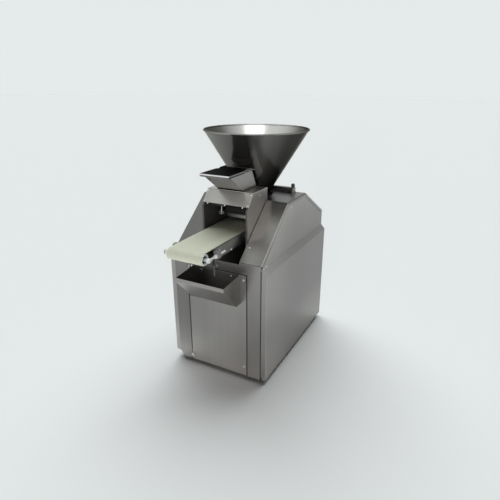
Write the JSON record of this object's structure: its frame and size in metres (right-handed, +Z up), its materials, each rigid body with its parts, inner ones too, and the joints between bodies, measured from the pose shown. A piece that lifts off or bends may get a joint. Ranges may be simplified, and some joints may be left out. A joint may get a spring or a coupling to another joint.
{
  "type": "piston dough divider",
  "caption": "Floor-standing bakery dough divider with a conical dough hopper, flour hopper, discharge conveyor, catch tray and a stainless steel cabinet with a front door.",
  "frame": {"origin": "on the floor, below the middle of the machine's bounding box", "axes": "+Z up, -Y towards the front where the conveyor sticks out, +X to the right seen from the front"},
  "size_m": [0.6675, 1.3282, 1.479],
  "materials": {
    "satin_steel": "satin brushed stainless sheet",
    "polished_steel": "polished stainless steel",
    "machined_steel": "machined steel",
    "bright_steel": "bright plated steel",
    "cast_iron": "machined grey iron",
    "painted_steel": "dark grey paint",
    "motor_paint": "blue grey paint",
    "belt_cover": "pale coated conveyor belting",
    "black_rubber": "black rubber",
    "black_plastic": "black moulded plastic"
  },
  "bodies": {
    "cabinet": {"base_plate": "painted_steel", "levelling_feet": "bright_steel", "left_side_frame": "machined_steel", "right_side_frame": "machined_steel", "front_frame": "satin_steel", "left_side_panel": "satin_steel", "right_side_panel": "satin_steel", "rear_panel": "satin_steel", "rear_cover": "satin_steel", "top_cover": "satin_steel", "left_slope_cover": "satin_steel", "right_slope_cover": "satin_steel", "head_cover": "polished_steel", "front_plate": "polished_steel", "cover_screws": "bright_steel", "flour_hopper": "satin_steel", "lid_hinge_rod": "bright_steel", "hopper_post": "machined_steel", "hopper_seat": "satin_steel", "chamber_block": "cast_iron", "conveyor_left_plate": "satin_steel", "conveyor_right_plate": "satin_steel", "conveyor_bed": "satin_steel", "conveyor_belt": "belt_cover", "conveyor_mounts": "machined_steel", "belt_scraper": "satin_steel", "take_up_nuts": "bright_steel", "conveyor_gearmotor": "motor_paint", "motor": "motor_paint", "gearbox": "cast_iron", "v_belt": "black_rubber", "lever_shaft": "machined_steel", "door_hinges": "bright_steel", "cable_gland": "black_plastic"},
    "door": {"front_door": "satin_steel", "door_fittings": "bright_steel", "catch_tray": "satin_steel"},
    "upper_lock": {"upper_lock": "bright_steel"},
    "lower_lock": {"lower_lock": "bright_steel"},
    "flour_lid": {"flour_lid": "polished_steel"},
    "flour_roller": {"flour_roller": "polished_steel"},
    "dough_hopper": {"dough_hopper": "polished_steel", "hopper_arm": "machined_steel"},
    "clamp_knob": {"clamp_knob": "black_plastic"},
    "drive_roller": {"drive_roller": "polished_steel"},
    "take_up": {"idler_shaft": "bright_steel", "eye_bolts": "bright_steel"},
    "idler_roller": {"idler_roller": "polished_steel"},
    "large_pulley": {"large_pulley": "cast_iron"},
    "motor_pulley": {"motor_pulley": "cast_iron"},
    "crank": {"crank": "machined_steel"},
    "main_lever": {"main_lever": "cast_iron"},
    "main_piston": {"main_piston": "machined_steel"},
    "connecting_rod": {"connecting_rod": "machined_steel"},
    "knife": {"knife": "machined_steel"},
    "measuring_drum": {"measuring_drum": "polished_steel"},
    "drum_rod": {"drum_rod": "machined_steel"},
    "measuring_piston": {"measuring_piston": "machined_steel"},
    "weight_spindle": {"weight_spindle": "bright_steel"},
    "weight_stop": {"weight_stop": "machined_steel"}
  },
  "joints": [
    {"name": "door_hinge", "type": "hinge", "parent": "cabinet", "child": "door", "pos_m": [-0.189, -0.36085, 0.325], "axis": [0, 0, -1], "range_deg": [0, 95]},
    {"name": "upper_lock_turn", "type": "hinge", "parent": "door", "child": "upper_lock", "pos_m": [0.186, -0.35385, 0.683], "axis": [0, -1, 0], "range_deg": [0, 90]},
    {"name": "lower_lock_turn", "type": "hinge", "parent": "door", "child": "lower_lock", "pos_m": [0.186, -0.35385, 0.089], "axis": [0, -1, 0], "range_deg": [0, 90]},
    {"name": "lid_hinge", "type": "hinge", "parent": "cabinet", "child": "flour_lid", "pos_m": [0, -0.08185, 1.27], "axis": [-1, 0, 0], "range_deg": [0, 55]},
    {"name": "flour_roller_turn", "type": "hinge", "parent": "cabinet", "child": "flour_roller", "pos_m": [0, -0.09185, 1.122], "axis": [1, 0, 0], "continuous": true},
    {"name": "hopper_swing", "type": "hinge", "parent": "cabinet", "child": "dough_hopper", "pos_m": [0.215, 0.27115, 1.095], "axis": [0, 0, -1], "range_deg": [0, 90]},
    {"name": "knob_turn", "type": "hinge", "parent": "cabinet", "child": "clamp_knob", "pos_m": [0.215, 0.27115, 1.117], "axis": [0, 0, 1], "range_deg": [0, 180]},
    {"name": "drive_roller_turn", "type": "hinge", "parent": "cabinet", "child": "drive_roller", "pos_m": [0, 0.01815, 0.896], "axis": [1, 0, 0], "continuous": true},
    {"name": "take_up_slide", "type": "slide", "parent": "cabinet", "child": "take_up", "axis": [0, 1, 0], "range_m": [0, 0.01]},
    {"name": "idler_roller_turn", "type": "hinge", "parent": "take_up", "child": "idler_roller", "pos_m": [0, -0.63085, 0.896], "axis": [1, 0, 0], "continuous": true},
    {"name": "large_pulley_turn", "type": "hinge", "parent": "cabinet", "child": "large_pulley", "pos_m": [0.186, 0.48415, 0.3545], "axis": [1, 0, 0], "continuous": true},
    {"name": "motor_turn", "type": "hinge", "parent": "cabinet", "child": "motor_pulley", "pos_m": [0.186, -0.10385, 0.122], "axis": [1, 0, 0], "continuous": true},
    {"name": "crank_turn", "type": "hinge", "parent": "cabinet", "child": "crank", "pos_m": [0, 0.48415, 0.625], "axis": [1, 0, 0], "continuous": true},
    {"name": "lever_swing", "type": "hinge", "parent": "cabinet", "child": "main_lever", "pos_m": [0, 0.32615, 0.375], "axis": [1, 0, 0], "range_deg": [0, 11.8]},
    {"name": "main_piston_slide", "type": "slide", "parent": "cabinet", "child": "main_piston", "axis": [0, -1, 0], "range_m": [0, 0.13]},
    {"name": "connecting_rod_pivot", "type": "hinge", "parent": "main_lever", "child": "connecting_rod", "pos_m": [-0.029, 0.33653, 0.625], "axis": [1, 0, 0], "range_deg": [-12, 0]},
    {"name": "knife_slide", "type": "slide", "parent": "cabinet", "child": "knife", "axis": [0, -1, 0], "range_m": [0, 0.075]},
    {"name": "drum_swing", "type": "hinge", "parent": "cabinet", "child": "measuring_drum", "pos_m": [0, -0.03585, 1.001], "axis": [1, 0, 0], "range_deg": [-45, 45]},
    {"name": "drum_rod_pivot", "type": "hinge", "parent": "measuring_drum", "child": "drum_rod", "pos_m": [0.177, -0.03585, 0.941], "axis": [1, 0, 0], "range_deg": [-46, 46]},
    {"name": "measuring_piston_slide", "type": "slide", "parent": "measuring_drum", "child": "measuring_piston", "axis": [0, 0.7071, -0.7071], "range_m": [0, 0.058]},
    {"name": "spindle_turn", "type": "hinge", "parent": "cabinet", "child": "weight_spindle", "pos_m": [-0.106, -0.10385, 1.025], "axis": [0, 0, 1], "range_deg": [-905, 905]},
    {"name": "weight_stop_slide", "type": "slide", "parent": "cabinet", "child": "weight_stop", "axis": [0, 0, 1], "range_m": [-0.01, 0.01]}
  ],
  "couplings": [
    {"joint": "idler_roller_turn", "follows": "drive_roller_turn", "ratio": 1},
    {"joint": "motor_turn", "follows": "large_pulley_turn", "ratio": 3.25},
    {"joint": "crank_turn", "follows": "large_pulley_turn", "ratio": 0.05},
    {"joint": "main_piston_slide", "follows": "lever_swing", "m_per_rad": 0.63064},
    {"joint": "connecting_rod_pivot", "follows": "lever_swing", "ratio": -1},
    {"joint": "drum_rod_pivot", "follows": "drum_swing", "ratio": -1},
    {"joint": "spindle_turn", "follows": "weight_stop_slide", "rad_per_m": 1570.8}
  ]
}
